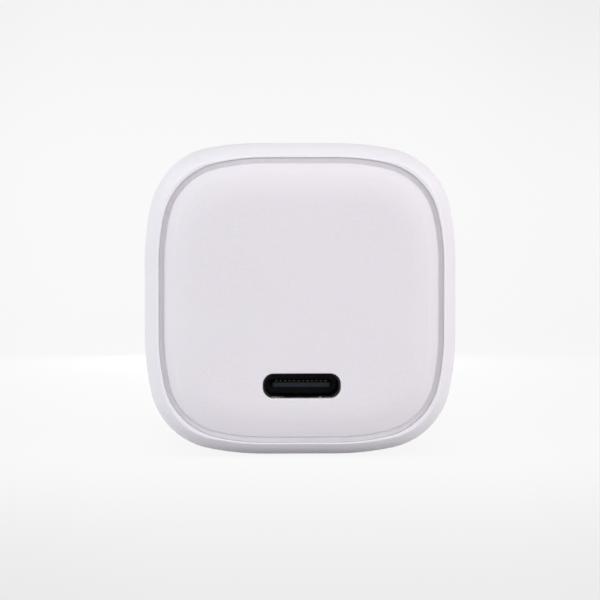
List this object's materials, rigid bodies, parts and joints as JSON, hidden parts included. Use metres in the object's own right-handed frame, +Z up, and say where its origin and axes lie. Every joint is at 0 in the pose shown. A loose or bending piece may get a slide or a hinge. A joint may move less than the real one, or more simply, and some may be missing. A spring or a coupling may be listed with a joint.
{
  "type": "laptop power adapter",
  "caption": "Compact wall charger for laptops: rounded-square case with a crowned front, one reversible socket low in the front face, and folding mains blades behind.",
  "frame": {"origin": "bottom centre of the case's bounding box, on the surface that it lies on", "axes": "X to the right of the front face as seen from in front of it, +Y from the socket face to the wall side, +Z up"},
  "size_m": [0.035, 0.041, 0.035],
  "materials": {
    "sleeve_plastic": "fine spark-eroded matte, moulded white with a faint cool tint",
    "face_plastic": "fine spark-eroded matte, moulded white with a faint cool tint",
    "rear_plastic": "fine spark-eroded matte, moulded white with a faint cool tint",
    "carriage_plastic": "moulded white, slightly glossier than the case",
    "blade_metal": "brass with a satin nickel plate",
    "retainer_plastic": "black flame-retardant moulding",
    "contact_metal": "bright phosphor bronze",
    "spring_steel": "bright rolled spring steel",
    "main_board_laminate": "green solder mask over glass laminate",
    "input_board_laminate": "green solder mask over glass laminate",
    "board_pin_metal": "tinned",
    "socket_shell_metal": "drawn stainless sheet, dull inside",
    "socket_tongue_plastic": "black glass-filled moulding",
    "socket_contact_metal": "gold flash on copper alloy",
    "ferrite": "dark grey ground ferrite",
    "choke_ferrite": "green epoxy-coated ferrite",
    "bobbin_plastic": "black phenolic moulding",
    "primary_wire": "enamelled copper, wound in layers",
    "secondary_wire": "triple-insulated copper, wound in layers",
    "winding_tape_film": "yellow polyester tape",
    "core_tape_film": "yellow polyester tape",
    "bulk_can": "aluminium can in dark heat-shrunk film",
    "output_can": "bare polymer-capacitor can",
    "seal_rubber": "black butyl",
    "lead_metal": "tinned copper wire",
    "film_box": "yellow epoxy-filled box",
    "disc_epoxy": "blue dipped epoxy",
    "varistor_epoxy": "blue-green dipped epoxy",
    "choke_wire": "enamelled copper",
    "choke_base_plastic": "black moulding",
    "fuse_plastic": "black moulding",
    "package_epoxy": "black moulding compound",
    "small_part_ceramic": "fired ceramic with tinned ends",
    "pad_silicone": "grey-blue silicone gap pad",
    "spreader_metal": "plain rolled aluminium",
    "sheet_film": "frosted polyester film"
  },
  "bodies": {
    "housing": {"sleeve": "sleeve_plastic", "front_cover": "face_plastic", "rear_cover": "rear_plastic", "carriage_retainer": "retainer_plastic", "contact_left": "contact_metal", "contact_right": "contact_metal", "detent_spring": "spring_steel", "main_board": "main_board_laminate", "input_board": "input_board_laminate", "board_pins": "board_pin_metal", "socket_shell": "socket_shell_metal", "socket_tongue": "socket_tongue_plastic", "socket_contacts": "socket_contact_metal", "core_lower": "ferrite", "core_upper": "ferrite", "choke_core": "choke_ferrite", "bobbin": "bobbin_plastic", "primary_winding": "primary_wire", "secondary_winding": "secondary_wire", "winding_tape": "winding_tape_film", "core_tape": "core_tape_film", "bulk_capacitor_left": "bulk_can", "bulk_capacitor_right": "bulk_can", "output_capacitor_front": "output_can", "output_capacitor_rear": "output_can", "bulk_seals": "seal_rubber", "output_seals": "seal_rubber", "bulk_leads": "lead_metal", "film_leads": "lead_metal", "disc_leads": "lead_metal", "varistor_leads": "lead_metal", "film_capacitor": "film_box", "disc_capacitor": "disc_epoxy", "varistor": "varistor_epoxy", "choke_winding_left": "choke_wire", "choke_winding_right": "choke_wire", "choke_base": "choke_base_plastic", "fuse": "fuse_plastic", "bridge_rectifier": "package_epoxy", "power_switch": "package_epoxy", "output_rectifier": "package_epoxy", "controller": "package_epoxy", "optocoupler": "package_epoxy", "protocol_chip": "package_epoxy", "small_parts": "small_part_ceramic", "thermal_pads": "pad_silicone", "heat_spreader": "spreader_metal", "insulating_sheet": "sheet_film"},
    "plug": {"blade_carriage": "carriage_plastic", "blade_left": "blade_metal", "blade_right": "blade_metal"}
  },
  "joints": [
    {"name": "blade_fold", "type": "hinge", "parent": "housing", "child": "plug", "pos_m": [0, 0.0171, 0.0264], "axis": [1, 0, 0], "range_deg": [0, 90], "deforming": ["detent_spring"]}
  ]
}
